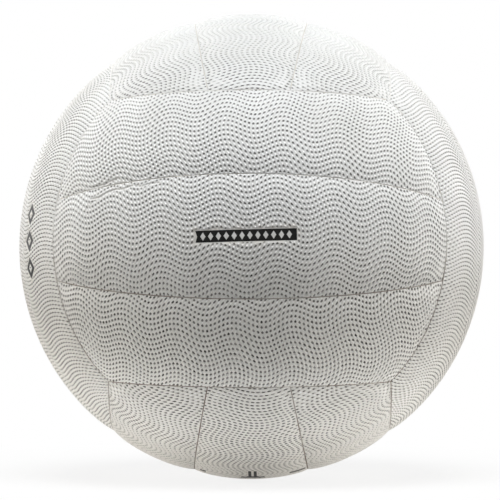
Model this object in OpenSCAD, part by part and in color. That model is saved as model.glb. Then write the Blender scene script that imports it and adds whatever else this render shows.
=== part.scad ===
// Volleyball with a stitched cover of eighteen panels.
//
// The cover is laid out like a cube. Each of its six faces holds three parallel
// strips, and the strips of neighbouring faces stand at right angles. Every seam
// is a circle on the ball: it lies on a cone whose tip is at the centre, so the
// turned-in edges of the panels point straight at the centre.
//
// A face is modelled with its outward direction along +Z, its strips along X and
// stacked along Y, and is then turned to its place on the ball.

/* [Ball] */
// Outside diameter, at the crown of a panel
ball_d = 210; // [190:1:230]

/* [Seams] */
// Width of the middle strip of a face, measured over the ball at the face's centre
middle_w = 52; // [44:1:60]
// Bulge of the outer seams of a face, as the lean of their cones in degrees
edge_lean = 4; // [0:0.5:8]
// Bulge of the two seams between strips, as the lean of their cones in degrees
strip_lean = 12; // [8:0.5:14]
// Gap between the turned-in edges of two panels
seam_gap = 0.2; // [0.2:0.05:0.4]

/* [Panels] */
// Thickness of the panel's skin
skin_t = 1; // [0.7:0.1:1.5]
// How far the edges are turned in, from the outer surface
turn_in = 4; // [3.6:0.1:6]
// Radius of the rounded shoulder along each seam
shoulder_r = 6; // [5:0.5:9]
// Width of the shoulder, from the seam to the crown
shoulder_w = 4; // [3:0.25:4.25]
// Film of glue or air between two layers
fit = 0.1; // [0.05:0.05:0.2]

/* [Thread] */
// Diameter of the seam thread
thread_d = 0.6; // [0.4:0.1:0.8]
// Distance from the end of a thread to the corner where seams meet
thread_end = 2; // [1.5:0.25:4]

/* [Bladder] */
// Wall of the rubber bladder
bladder_wall = 0.5; // [0.4:0.1:1.5]
// Diameter of the reinforcing patch round the valve
patch_d = 42; // [34:1:56]
// Thickness of that patch
patch_t = 0.8; // [0.5:0.1:1.5]

/* [Valve] */
// Diameter of the valve's neck, where it passes through the cover
neck_d = 8; // [7.5:0.5:10]
// Diameter of the valve's flange, inside the bladder
flange_d = 20; // [16:1:26]
// Thickness of that flange
flange_t = 1.6; // [1:0.2:2.4]
// How far the valve's mouth lies under the surface of the ball
mouth_drop = 0.4; // [0.2:0.1:0.8]
// Diameter of the valve core
core_d = 4.4; // [4:0.2:4.8]
// Length of the valve core
core_l = 14; // [12:0.5:18]
// Diameter of the bead that holds the core in its housing
bead_d = 5.6; // [5.2:0.2:6]
// Diameter of the hole for the inflating needle
needle_d = 2.2; // [1.8:0.1:2.6]
// Depth of that hole
needle_depth = 10; // [8:0.5:11]

/* [Hidden] */
$fn = 96;
// Facets of a preview sphere as large as the ball
ball_fn = 240;
// Facets of a preview thread or bead
bead_fn = 48;
// Each face: its name, how it is turned to its place, and the names of its strips from -Y to +Y
FACES = [
    ["front", [90, 0, 0], ["bottom", "middle", "top"]],
    ["back", [90, 0, 180], ["bottom", "middle", "top"]],
    ["left", [0, -90, 0], ["front", "middle", "back"]],
    ["right", [0, 90, 0], ["front", "middle", "back"]],
    ["top", [0, 0, 90], ["right", "middle", "left"]],
    ["bottom", [180, 0, 90], ["left", "middle", "right"]]
];
STRIPS = [0, 1, 2];
MIDDLE = 1;
VALVE_FACE = "back";
function panel_name(f, s) = str(f[0], "_", f[2][s], "_panel");
function backing_name(f, s) = str(f[0], "_", f[2][s], "_backing");
function thread_name(f) = str(f[0], "_seam_thread");

ball_r = ball_d / 2;
degrees = 180 / PI;
// The outer seams of three faces meet at each corner of the cube, which sets their place
edge_place = edge_lean + asin((cos(edge_lean) - sin(edge_lean)) / sqrt(3));
strip_place = middle_w / 2 / ball_r * degrees;
// A seam across the face: its lean, and its angle from the face's middle line
CROSS_SEAMS = [
    [-edge_lean, -edge_place],
    [-strip_lean, -strip_place],
    [strip_lean, strip_place],
    [edge_lean, edge_place]
];
// The ends of the strips lie on the outer seams of the neighbouring faces
END_SEAMS = [
    [edge_lean - 90, edge_place - 90],
    [90 - edge_lean, 90 - edge_place]
];
// Crown lines of each strip's panel between its shoulders, and crown lines across the strips
CROWN_ROWS = [1, 3, 1];
CROWN_COLUMNS = 11;
// The middle line of a shoulder, as a share of its width
shoulder_mid_share = 0.4;
floor_r = ball_r - turn_in;
bladder_r = floor_r - fit;
patch_r = bladder_r - bladder_wall - fit;
flange_r = patch_r - patch_t - fit;
mouth_r = ball_r - mouth_drop;
core_foot = mouth_r - core_l;
// Where the bead sits on the core, as a share of its length from the foot
bead_share = 0.45;
bead_place = core_foot + bead_share * core_l;
// Cuts run this far past the face that they open
overrun = 1;

// Lines that run beside a seam on one side of it, and how far each is from the seam's gap
function shoulder_steps(level) = [
    level,
    level + shoulder_mid_share * (shoulder_w - level),
    shoulder_w
];
function beside(seam, side, x) = [seam[0], seam[1] + side * (seam_gap / 2 + x) / ball_r * degrees, x];

// All lines from one seam to the next: along one shoulder, over the crown, along the other shoulder
function lines(low, high, crown, level) =
    let (
        steps = shoulder_steps(level),
        a = beside(low, 1, shoulder_w),
        b = beside(high, -1, shoulder_w)
    )
    concat(
        [for (x = steps) beside(low, 1, x)],
        [for (k = [1:crown]) a + (b - a) * k / (crown + 1)],
        [for (k = [2:-1:0]) beside(high, -1, steps[k])]
    );

// Where a line across the face meets a line along its strips, as a direction from the centre
function meeting(row, column) =
    let (
        n1 = [0, cos(row[0]), -sin(row[0])],
        n2 = [cos(column[0]), 0, -sin(column[0])],
        c1 = sin(row[1] - row[0]),
        c2 = sin(column[1] - column[0]),
        n12 = n1 * n2,
        foot = ((c1 - c2 * n12) * n1 + (c2 - c1 * n12) * n2) / (1 - n12 * n12),
        along = cross(n1, n2),
        up = along / norm(along) * (along[2] < 0 ? -1 : 1)
    )
    foot + up * sqrt(1 - foot * foot);

// How far the shoulder's arc falls below the crown at a distance from the seam's gap
function fall(x, level) =
    x >= shoulder_w ? 0 : shoulder_r - level - sqrt(pow(shoulder_r - level, 2) - pow(shoulder_w - x, 2));

// Two falls meet at a panel's corner without adding up past the seam's depth
function joined_fall(x, y, level) =
    let (a = fall(x, level), b = fall(y, level), deepest = fall(level, level))
    a + b - a * b / deepest;

// The points of a panel's outer form, drawn in by level all round
function form_points(strip, level) =
    let (
        rows = lines(CROSS_SEAMS[strip], CROSS_SEAMS[strip + 1], CROWN_ROWS[strip], level),
        columns = lines(END_SEAMS[0], END_SEAMS[1], CROWN_COLUMNS, level)
    )
    [for (r = rows) for (c = columns) meeting(r, c) * (ball_r - level - joined_fall(r[2], c[2], level))];

// Points are numbered along the strip first, then across it
COLUMNS = CROWN_COLUMNS + 2 * len(shoulder_steps(0));
function row_count(strip) = CROWN_ROWS[strip] + 2 * len(shoulder_steps(0));
function at(row, column) = row * COLUMNS + column;
function rim(last_row, last_column) = concat(
    [for (c = [0:last_column - 1]) at(0, c)],
    [for (r = [0:last_row - 1]) at(r, last_column)],
    [for (c = [last_column:-1:1]) at(last_row, c)],
    [for (r = [last_row:-1:1]) at(r, 0)]
);

// The panel's form as a closed wedge that runs down to a tip near the centre
module wedge(strip, level) {
    last_row = row_count(strip) - 1;
    last_column = COLUMNS - 1;
    edge = rim(last_row, last_column);
    tip = row_count(strip) * COLUMNS;
    cells = [for (r = [0:last_row - 1]) for (c = [0:last_column - 1]) [r, c]];
    polyhedron(
        points = concat(form_points(strip, level), [[0, 0, 2 * level]]),
        faces = concat(
            [for (p = cells) [at(p[0], p[1]), at(p[0] + 1, p[1]), at(p[0] + 1, p[1] + 1)]],
            [for (p = cells) [at(p[0], p[1]), at(p[0] + 1, p[1] + 1), at(p[0], p[1] + 1)]],
            [for (k = [0:len(edge) - 1]) [edge[k], edge[(k + 1) % len(edge)], tip]]
        )
    );
}

// Turns a face to its place on the ball
module on_face(f) {
    rotate(f[1])
        children();
}

// The way through the cover for the valve's neck
module neck_hole() {
    cylinder(d = neck_d + 2 * fit, h = ball_d);
}

function holds_valve(f, strip) = f[0] == VALVE_FACE && strip == MIDDLE;

// A tray: skin on top, with its edges turned in along the seams
module panel(f, strip) {
    color("white")
        on_face(f)
            difference() {
                wedge(strip, 0);
                wedge(strip, skin_t);
                sphere(r = floor_r, $fn = ball_fn);
                if (holds_valve(f, strip))
                    neck_hole();
            }
}

// Foam and cloth that fill the tray
module backing(f, strip) {
    color("wheat")
        on_face(f)
            difference() {
                wedge(strip, skin_t + fit);
                sphere(r = floor_r, $fn = ball_fn);
                if (holds_valve(f, strip))
                    neck_hole();
            }
}

// The thread rests where the two shoulders of a seam meet
lay_r = ball_r - fall(0, 0) + thread_d / 2 + fit;

// The cone that carries a seam, as its half-angle
function spread(seam) = 90 - seam[1] + seam[0];

// Half of the arc that a seam runs through, seen from its cone's axis
function half_arc(seam) =
    let (
        end = meeting(seam, END_SEAMS[1]),
        out = [0, sin(seam[0]), cos(seam[0])]
    )
    atan2(end[0], end * out);

// One seam's thread, laid in the groove between two shoulders, short of the corners
module thread(seam) {
    across = lay_r * sin(spread(seam));
    half = half_arc(seam) - thread_end / across * degrees;
    rotate([-90 - seam[0], 0, 0])
        rotate([0, 0, -90 - half])
            rotate_extrude(angle = 2 * half)
                translate([across, lay_r * cos(spread(seam))])
                    circle(d = thread_d, $fn = bead_fn);
}

// The four seams of a face: two between its strips and two along its outer edges
module seam_thread(f) {
    color("tan")
        on_face(f)
            for (side = [0, 1])
                mirror([0, side, 0])
                    for (seam = [CROSS_SEAMS[2], CROSS_SEAMS[3]])
                        thread(seam);
}

// Turns the valve and what surrounds it to the face that holds it
module at_valve() {
    for (f = FACES)
        if (f[0] == VALVE_FACE)
            on_face(f)
                children();
}

// A disc cut from a shell round the ball's centre
module round_disc(d, outer_r, t) {
    intersection() {
        difference() {
            sphere(r = outer_r, $fn = ball_fn);
            sphere(r = outer_r - t, $fn = ball_fn);
        }
        cylinder(d = d, h = ball_d);
    }
}

// Rubber bladder, a hollow ball with the valve's neck through its wall
module bladder() {
    color("dimgray")
        at_valve()
            difference() {
                sphere(r = bladder_r, $fn = ball_fn);
                sphere(r = bladder_r - bladder_wall, $fn = ball_fn);
                neck_hole();
            }
}

// Patch bonded inside the bladder, round the neck
module bladder_patch() {
    color("dimgray")
        at_valve()
            difference() {
                round_disc(patch_d, patch_r, patch_t);
                neck_hole();
            }
}

// The core's round body with its bead, larger all round by grow and longer at each end by over
module core_form(grow, over) {
    rotate_extrude() {
        translate([0, core_foot - over])
            square([core_d / 2 + grow, core_l + 2 * over]);
        translate([core_d / 2, bead_place])
            circle(d = bead_d - core_d + 2 * grow, $fn = bead_fn);
    }
}

// Moulded housing: flange under the patch, neck out to the mouth, sleeve round the core
module valve_housing() {
    color("black")
        at_valve()
            difference() {
                union() {
                    round_disc(flange_d, flange_r, flange_t);
                    translate([0, 0, core_foot])
                        cylinder(d = neck_d, h = core_l);
                }
                core_form(fit, overrun);
            }
}

// Soft plug in the housing, with the hole that takes the needle
module valve_core() {
    color("gainsboro")
        at_valve()
            difference() {
                core_form(0, 0);
                translate([0, 0, mouth_r - needle_depth])
                    cylinder(d = needle_d, h = needle_depth + overrun);
            }
}

for (f = FACES)
    for (s = STRIPS) {
        panel(f, s);
        backing(f, s);
    }
for (f = FACES)
    seam_thread(f);
bladder();
bladder_patch();
valve_housing();
valve_core();
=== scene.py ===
# %% [markdown]
# # A stitched volleyball
# This lesson dresses a ball whose hidden parts were made in a CAD program: the bladder, the valve
# and the layers of foam and cloth are already there, as solids that must not move.
# We make what the eye meets: eighteen panels of embossed white vinyl, the thread in their seams,
# a few printed marks and the rubber mouth of the valve.
# The first step opens the imported ball. Nothing may grow past it.

# %% Open the imported ball
import math

import bmesh
import bpy
import numpy as np
from mathutils import Euler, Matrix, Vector
from mathutils.geometry import delaunay_2d_cdt


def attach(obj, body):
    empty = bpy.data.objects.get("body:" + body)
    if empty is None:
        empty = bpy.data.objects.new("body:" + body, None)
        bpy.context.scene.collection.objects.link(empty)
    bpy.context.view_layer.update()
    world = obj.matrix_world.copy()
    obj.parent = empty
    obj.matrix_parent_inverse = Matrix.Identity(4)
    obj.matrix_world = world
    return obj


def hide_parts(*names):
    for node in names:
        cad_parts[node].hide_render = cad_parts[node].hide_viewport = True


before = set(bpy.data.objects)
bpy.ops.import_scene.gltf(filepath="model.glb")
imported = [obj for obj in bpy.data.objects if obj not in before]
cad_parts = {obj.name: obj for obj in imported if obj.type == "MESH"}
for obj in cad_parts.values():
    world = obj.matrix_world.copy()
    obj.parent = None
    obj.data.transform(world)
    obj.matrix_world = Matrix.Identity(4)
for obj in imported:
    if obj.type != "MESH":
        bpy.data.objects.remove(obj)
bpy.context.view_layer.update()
MM = 0.001


# %% [markdown]
# ## The camera comes first
# The ball fills the picture, seen from about nine radii away and from a little below its middle,
# so the under side shows slightly more than the top. A long lens keeps the outline round.
# We place the camera by two angles and a distance, which are easy to read and to correct,
# and shift the lens by a few thousandths so that the ball sits just off the centre of the square.

# %% Camera
BALL_R = 105.0
CAMERA_RADII = 8.7
CAMERA_RISE = math.radians(-2.4)
CAMERA_SWING = math.radians(0.75)
SENSOR = 36.0
FOCAL_IN_WIDTHS = 4.018
LENS_SHIFT = (-0.003, -0.007)
SEES_FROM, SEES_TO = 0.01, 30

camera_data = bpy.data.cameras.new("portrait_lens")
camera = bpy.data.objects.new("portrait_camera", camera_data)
bpy.context.scene.collection.objects.link(camera)
towards_camera = Vector((
    math.cos(CAMERA_RISE) * math.sin(CAMERA_SWING),
    -math.cos(CAMERA_RISE) * math.cos(CAMERA_SWING),
    math.sin(CAMERA_RISE),
))
camera.location = towards_camera * CAMERA_RADII * BALL_R * MM
camera.rotation_mode = "QUATERNION"
camera.rotation_quaternion = (-towards_camera).to_track_quat("-Z", "Y")
camera_data.sensor_width = SENSOR
camera_data.lens = FOCAL_IN_WIDTHS * SENSOR
camera_data.shift_x, camera_data.shift_y = LENS_SHIFT
camera_data.clip_start, camera_data.clip_end = SEES_FROM, SEES_TO
bpy.context.scene.camera = camera
print("camera stands", round(camera.location.length, 3), "m from the ball's centre")

# %% [markdown]
# ## How the cover is cut
# The cover is laid out like a cube with three parallel strips on each face.
# A face is worked out once, with its outward side along Z and its strips along X, and is then turned
# to its place, so all eighteen panels come from one set of rules.
# Every seam is a circle on the ball. A circle on a ball lies in a flat plane, and that is handy:
# later a plain plane cut can trim a panel exactly along its seam.

# %% Faces, strips and seams
# Each face: the turn in degrees that brings it to its place, and the names of its three strips
FACES = {
    "front": ((90, 0, 0), ("bottom", "middle", "top")),
    "back": ((90, 0, 180), ("bottom", "middle", "top")),
    "left": ((0, -90, 0), ("front", "middle", "back")),
    "right": ((0, 90, 0), ("front", "middle", "back")),
    "top": ((0, 0, 90), ("right", "middle", "left")),
    "bottom": ((180, 0, 90), ("left", "middle", "right")),
}
MIDDLE = 1
# How far the planes of the outer and of the inner seams lean, in degrees, and two widths in mm
EDGE_LEAN = 4.0
STRIP_LEAN = 12.0
MIDDLE_WIDTH = 52.0
SEAM_GAP = 0.12
# How far the seams lie from the middle of a face, in degrees. The outer ones meet at the cube's corners
EDGE_PLACE = EDGE_LEAN + math.degrees(
    math.asin((math.cos(math.radians(EDGE_LEAN)) - math.sin(math.radians(EDGE_LEAN))) / math.sqrt(3))
)
STRIP_PLACE = math.degrees(MIDDLE_WIDTH / 2 / BALL_R)
CROSS_SEAMS = (
    (-EDGE_LEAN, -EDGE_PLACE),
    (-STRIP_LEAN, -STRIP_PLACE),
    (STRIP_LEAN, STRIP_PLACE),
    (EDGE_LEAN, EDGE_PLACE),
)
END_SEAMS = ((EDGE_LEAN - 90, EDGE_PLACE - 90), (90 - EDGE_LEAN, 90 - EDGE_PLACE))


def face_turn(face):
    """The turn that brings a face to its place on the ball."""
    return np.array(Euler([math.radians(a) for a in FACES[face][0]]).to_matrix())


def seam_circle(lean, place, crosses):
    """A seam's axis through the centre of the ball, and the angle from that axis to the seam."""
    a = math.radians(lean)
    axis = (0, math.cos(a), -math.sin(a)) if crosses else (math.cos(a), 0, -math.sin(a))
    return np.array(axis), math.radians(90 - place + lean)


def seam_front(lean):
    """Square to a cross seam's axis and straight out of the face: the seam is measured from here."""
    a = math.radians(lean)
    return np.array((0, math.sin(a), math.cos(a)))


def panel_seams(strip):
    """The four seams round a panel, each with the side of it (1 or -1) that the panel is on."""
    return [
        (*seam_circle(*CROSS_SEAMS[strip], True), 1),
        (*seam_circle(*CROSS_SEAMS[strip + 1], True), -1),
        (*seam_circle(*END_SEAMS[0], False), 1),
        (*seam_circle(*END_SEAMS[1], False), -1),
    ]


def from_seams(rays, seams):
    """How far each direction is from the panel's four edges, in mm along the ball."""
    return np.stack([
        side * (angle - np.arccos(np.clip(rays @ axis, -1, 1))) * BALL_R - SEAM_GAP / 2
        for axis, angle, side in seams
    ], 1)


print("seams cross the middle of a face at", [round(place, 1) for _, place in CROSS_SEAMS], "degrees")

# %% [markdown]
# ## Measuring on a curved strip
# A pattern is rolled onto the material before the panels are cut, so it follows each strip like a ruler:
# one number runs along the strip, the other across it.
# These two functions turn such a pair, in millimetres, into a direction from the ball's centre and back.
# A flat strip laid round a ball follows a great circle, as a ribbon round a gift does, so that is where
# the ruler lies, through the middle of the strip.

# %% Along and across a strip
SIDE_CENTRE = (STRIP_PLACE + EDGE_PLACE) / 2


def strip_ruler(strip):
    """The axis that the strip's great circle turns about, and the direction to the strip's middle."""
    a = math.radians((strip - MIDDLE) * SIDE_CENTRE)
    return np.array((0, math.cos(a), -math.sin(a))), np.array((0, math.sin(a), math.cos(a)))


def ray_at(along, across, strip):
    """The direction to each place on a strip, given in mm."""
    pole, middle = strip_ruler(strip)
    turn, rise = (along / BALL_R)[:, None], (across / BALL_R)[:, None]
    return np.sin(rise) * pole + np.cos(rise) * (np.cos(turn) * middle + np.sin(turn) * np.array((1, 0, 0)))


def place_on_strip(rays, strip):
    """How far along and across a strip each direction lies, in mm."""
    pole, middle = strip_ruler(strip)
    along = np.arctan2(rays[:, 0], rays @ middle) * BALL_R
    return along, np.arcsin(np.clip(rays @ pole, -1, 1)) * BALL_R


print("the outer strips are centred", round(SIDE_CENTRE, 1), "degrees from the middle one")

# %% [markdown]
# ## The embossed grid
# The vinyl is covered with small pits in rows and columns, and both swing from side to side like ripples
# in sand. The rows swing in short waves and the columns in long ones.
# Where a row meets a column depends on both waves at once, so we guess, correct the guess, and repeat:
# after a few rounds it no longer changes.
# We don't carve the pits out of an even mesh, which would need millions of faces. The mesh lines
# themselves follow the grid: each oval pit gets five lines one way and six the other, placed where its
# walls bend.

# %% Pits in swinging rows
# The distance from pit to pit and both waves, in mm
PIT_ALONG = 1.74
PIT_ACROSS = 2.27
ROW_WAVE, ROW_SWING = 24.2, 2.1
COLUMN_WAVE, COLUMN_SWING = 47.0, 2.45
# The half widths of the oval pit as shares of its cell, and its flat floor as a share of them
PIT_HALF = (0.32, 0.43)
PIT_FLOOR = 0.55
# Where the mesh lines cross a cell, and how far the grid reaches from the middle of a strip, in mm
COLUMN_LINES = (0.18, 0.3, 0.5, 0.7, 0.82)
ROW_LINES = (0.07, 0.2, 0.38, 0.62, 0.8, 0.93)
GRID_REACH_ALONG, GRID_REACH_ACROSS = 106.0, 33.0
GUESSES = 12
# Where the row waves and the column waves start, in mm: given for the panels that show most
WAVE_STARTS = {
    ("front", 0): (18.0, -13.4),
    ("front", 1): (11.7, 0.0),
    ("front", 2): (14.6, 23.5),
    ("left", 0): (19.5, 33.5),
}
START_STEPS = (7.3, 17.9)


def panel_number(face, strip):
    """The panels counted from 0 to 17, which gives each its own share of chance."""
    return list(FACES).index(face) * len(FACES[face][1]) + strip


def wave_starts(face, strip):
    """Each panel was cut at its own place, so its waves start at places of their own."""
    number = panel_number(face, strip)
    own = (number * START_STEPS[0]) % ROW_WAVE, (number * START_STEPS[1]) % COLUMN_WAVE
    return WAVE_STARTS.get((face, strip), own)


def swing_to_place(column, row, starts):
    """Where pit number (column, row) lies on its strip, in mm."""
    along, across = column * PIT_ALONG, row * PIT_ACROSS
    for _ in range(GUESSES):
        across = row * PIT_ACROSS + ROW_SWING * np.cos(2 * np.pi * (along - starts[0]) / ROW_WAVE)
        along = column * PIT_ALONG + COLUMN_SWING * np.cos(2 * np.pi * (across - starts[1]) / COLUMN_WAVE)
    return along, across


def ease(x, low, high):
    """A smooth step from 0 at low to 1 at high."""
    t = np.clip((x - low) / (high - low), 0, 1)
    return t * t * (3 - 2 * t)


def in_pit(column, row):
    """Where a point lies in its cell, measured from the pit's middle in half widths of the oval pit."""
    return (column % 1 - 0.5) / PIT_HALF[0], (row % 1 - 0.5) / PIT_HALF[1]


def pit_shape(column, row):
    """1 over the floor of a pit, 0 outside its oval rim."""
    return 1 - ease(np.hypot(*in_pit(column, row)), PIT_FLOOR, 1)


some_pit = swing_to_place(10, 5, wave_starts("front", MIDDLE))
print("on the front, pit 10 of row 5 lies at", [round(float(p), 1) for p in some_pit], "mm")

# %% [markdown]
# ## A sheet of grid, trimmed at its seams
# First the grid is laid over the whole strip with some to spare. Then four plane cuts trim it along the
# four seams. A few more cuts, which remove nothing, add lines close beside each seam,
# because the edge there rolls over in a third of a millimetre and needs faces to do it with.
# The pit numbers are stored on the points as attributes: a cut carries them over to the new points.

# %% Lay out and trim a panel
# The valve's hole, the wider hole that is left open in the grid for it, and the cuts beside a seam, in mm
VALVE_PANEL = ("back", MIDDLE)
HOLE_R = 4.1
HOLE_RING = 5.6
SHOULDER_CUTS = (0.06, 0.15, 0.32)
# A cut this near an old point goes through it, and the extra cuts reach this far from a seam, in mm
SNAP = 0.02
CUT_REACH = 1.6


def mesh_lines(reach, pitch, places):
    """Where the lines of the grid run one way, counted in pits."""
    count = math.ceil(reach / pitch)
    return np.add.outer(np.arange(-count, count), places).ravel()


def corners_of(grid):
    """The values at the four corners of every face of a grid."""
    return grid[:-1, :-1], grid[:-1, 1:], grid[1:, 1:], grid[1:, :-1]


def grid_sheet(face, strip, seams):
    """The untrimmed grid as points, faces and pit numbers, left open where the valve comes through."""
    column, row = np.meshgrid(
        mesh_lines(GRID_REACH_ALONG, PIT_ALONG, COLUMN_LINES),
        mesh_lines(GRID_REACH_ACROSS, PIT_ACROSS, ROW_LINES),
    )
    shape = column.shape
    column, row = column.ravel(), row.ravel()
    along, across = swing_to_place(column, row, wave_starts(face, strip))
    rays = ray_at(along, across, strip)
    kept = (from_seams(rays, seams).min(1) > 0).reshape(shape)
    wanted = np.any(corners_of(kept), axis=0)
    if (face, strip) == VALVE_PANEL:
        clear = (np.hypot(along, across) > HOLE_RING).reshape(shape)
        wanted &= np.all(corners_of(clear), axis=0)
    r, c = np.nonzero(wanted)
    first = r * shape[1] + c
    faces = np.stack([first, first + 1, first + shape[1] + 1, first + shape[1]], 1)
    used, faces = np.unique(faces, return_inverse=True)
    return rays[used] * BALL_R, faces.reshape(-1, 4), column[used], row[used]


def cut_on_seam(bm, geometry, seam, inset, trim):
    """Cuts at a distance inside a seam. With trim, what lies beyond the cut goes."""
    axis, angle, side = seam
    level = BALL_R * math.cos(angle - side * (SEAM_GAP / 2 + inset) / BALL_R)
    spot, outward = Vector(axis * level), Vector(-side * axis)
    done = bmesh.ops.bisect_plane(
        bm, geom=geometry, dist=SNAP, plane_co=spot, plane_no=outward, clear_outer=trim
    )
    return done["geom"]


def trimmed_sheet(face, strip):
    """The grid cut to the panel's outline, as a mesh on a plain ball."""
    seams = panel_seams(strip)
    points, faces, column, row = grid_sheet(face, strip, seams)
    mesh = bpy.data.meshes.new("sheet")
    mesh.from_pydata(points, [], faces.tolist())
    for name, numbers in (("column", column), ("row", row)):
        mesh.attributes.new(name, "FLOAT", "POINT").data.foreach_set("value", numbers.astype(np.float32))
    bm = bmesh.new()
    bm.from_mesh(mesh)
    for seam in seams:
        cut_on_seam(bm, bm.verts[:] + bm.edges[:] + bm.faces[:], seam, 0, True)
    for seam in seams:
        axis = Vector(seam[0])
        level = BALL_R * math.cos(seam[1])
        near = [f for f in bm.faces if abs(f.verts[0].co.dot(axis) - level) < CUT_REACH]
        edges = {e for f in near for e in f.edges}
        geometry = list({v for e in edges for v in e.verts}) + list(edges) + near
        for inset in SHOULDER_CUTS:
            geometry = cut_on_seam(bm, geometry, seam, inset, False)
    bm.to_mesh(mesh)
    bm.free()
    return mesh


line_count = len(mesh_lines(GRID_REACH_ALONG, PIT_ALONG, COLUMN_LINES))
print("a strip is laid out with", line_count, "lines across it, then trimmed along 4 seams")

# %% [markdown]
# ## Reading a mesh as plain arrays
# The rest of a panel is arithmetic on tens of thousands of points, and arrays do that much faster than
# a loop over Blender's points. Here the trimmed sheet is read into arrays, and its open edge is walked
# point by point, so that the next step can fold that edge over.

# %% Points, faces and open edges of a mesh
def numbers_of(data, field, kind=np.float32, width=1):
    """One field of all the points, faces or corners of a mesh, as an array."""
    found = np.zeros(len(data) * width, kind)
    data.foreach_get(field, found)
    return found.reshape(-1, width) if width > 1 else found


def read_sheet(mesh):
    """Points, faces, and for each point of the open edge the point that follows it."""
    points = numbers_of(mesh.vertices, "co", width=3).astype(float)
    starts = numbers_of(mesh.polygons, "loop_start", np.int32)
    sizes = numbers_of(mesh.polygons, "loop_total", np.int32)
    corner = numbers_of(mesh.loops, "vertex_index", np.int32)
    following = np.arange(len(corner)) + 1
    following[starts + sizes - 1] = starts
    faces = [corner[a:a + n].tolist() for a, n in zip(starts, sizes)]
    edge = numbers_of(mesh.loops, "edge_index", np.int32)
    open_corners = np.nonzero(np.bincount(edge)[edge] == 1)[0]
    step = {int(corner[i]): int(corner[following[i]]) for i in open_corners}
    return points, faces, step


def walk(step):
    """The open edge as closed rounds of points, the longest first."""
    left, rounds = dict(step), []
    while left:
        here = next(iter(left))
        found = []
        while here in left:
            found.append(here)
            here = left.pop(here)
        rounds.append(np.array(found))
    return sorted(rounds, key=len, reverse=True)


print("a triangle's edge is walked as", [r.tolist() for r in walk({0: 1, 1: 2, 2: 0})])

# %% [markdown]
# ## Height of the cover
# Each panel is a soft pillow: nearly the full radius over its middle and lower towards the seams, where
# the edge rolls over and dives between its neighbours. Where two seams meet at a corner, their drops are
# joined, so that the corner doesn't sink twice as deep.
# Hand-sewn edges also pucker a little, so a low, slow ripple is added that fades away from the seam.
# The ripple is a sum of sine waves in fixed directions, drawn from a seeded generator: it is as
# irregular as noise and the same in every run.

# %% Pillow, rolled edge and puckers
PILLOW_SINK, PILLOW_REACH = 1.1, 5.5
ROLL_R = 0.3
PUCKER_DEPTH, PUCKER_REACH, PUCKER_LENGTH = 0.14, 3.0, 8.0
UNEVEN_DEPTH, UNEVEN_LENGTH = 0.08, 34.0
HOLE_ROLL = 0.45
PIT_DEPTH = 0.45
PIT_FADE = (0.05, 0.5)
RIPPLES, RIPPLE_SPREAD = 28, (0.6, 1.5)


def ripple(places, length, seed):
    """An even random ripple between about -1 and 1."""
    draw = np.random.default_rng(seed)
    ways = draw.normal(size=(RIPPLES, 3))
    speed = 2 * np.pi / length * draw.uniform(*RIPPLE_SPREAD, RIPPLES)
    ways *= (speed / np.linalg.norm(ways, axis=1))[:, None]
    return np.sin(places @ ways.T + draw.uniform(0, 2 * np.pi, RIPPLES)).sum(1) / math.sqrt(2 * RIPPLES)


def rolled(x, radius):
    """How far a quarter-round edge has dropped, x from its end."""
    x = np.clip(x, 0, radius)
    return radius - np.sqrt(radius ** 2 - (radius - x) ** 2)


def edge_drop(x):
    """The fall of the cover towards one seam: the pillow's slope and then the rolled edge."""
    return PILLOW_SINK * np.exp(-np.maximum(x, 0) / PILLOW_REACH) + rolled(x, ROLL_R)


def joined_drop(distances, drop):
    """Drops towards several seams, joined so that they never add up past the deepest."""
    deepest = drop(np.zeros(1))[0]
    return deepest * (1 - np.prod(1 - drop(distances) / deepest, axis=1))


print("the cover falls", round(float(edge_drop(np.zeros(1))[0]), 2), "mm at a seam, before its puckers")

# %% [markdown]
# ## Printed marks
# A black bar with a row of pale lozenges is stamped on the middle of the front, three open shapes run
# down the left side, and some blocks and stripes sit underneath. Hot stamping presses the vinyl flat, so
# each mark needs two things: a shallow flat bed in the panel and a thin layer of ink in it.
# Both come from the same outlines, given in millimetres on the strip.

# %% Outlines of the marks
# Lengths and heights in mm, places as (along, across), blocks as (along, across, length, height)
BAR_LENGTH, BAR_HEIGHT, BAR_NOTCH, BAR_TURN = 41.4, 4.8, 0.7, math.radians(1.5)
BAR_CENTRE = (-0.85, 0.15)
LOZENGE_COUNT, LOZENGE_PITCH, LOZENGE_HALF = 12, 3.2, (1.1, 1.65)
SIDE_MARK_PLACES = (12.4, 0.7, -11.2)
SIDE_MARK_ACROSS, SIDE_MARK_HALF, SIDE_MARK_LINE = 3.6, (4.8, 5.6), 2.1
UNDER_BLOCKS = ((-17.5, 0.8, 6.0, 10.6), (-20.5, -21.6, 5.0, 2.6), (-21.0, 21.4, 5.0, 8.2))
UNDER_STRIPES = ((-24.5, -0.4, 17.0, 1.3), (-24.5, 2.0, 17.0, 1.3))


def lozenge(centre, half, scale=1.0):
    """A lozenge of these half sizes."""
    a, b = half[0] * scale, half[1] * scale
    return [(centre[0] + x, centre[1] + y) for x, y in ((-a, 0), (0, -b), (a, 0), (0, b))]


def block(along, across, length, height):
    """A plain rectangle."""
    a, b = length / 2, height / 2
    return [(along + x, across + y) for x, y in ((-a, -b), (a, -b), (a, b), (-a, b))]


def turned(outline, angle, centre):
    """An outline turned about its own middle and set down at a place."""
    c, s = math.cos(angle), math.sin(angle)
    return [(centre[0] + c * x - s * y, centre[1] + s * x + c * y) for x, y in outline]


def bar_outline():
    """The bar, with a small notch in its left end."""
    a, b = BAR_LENGTH / 2, BAR_HEIGHT / 2
    plain = [(-a, -b), (a, -b), (a, b), (-a, b), (-a + BAR_NOTCH, 0)]
    return turned(plain, BAR_TURN, BAR_CENTRE)


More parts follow.
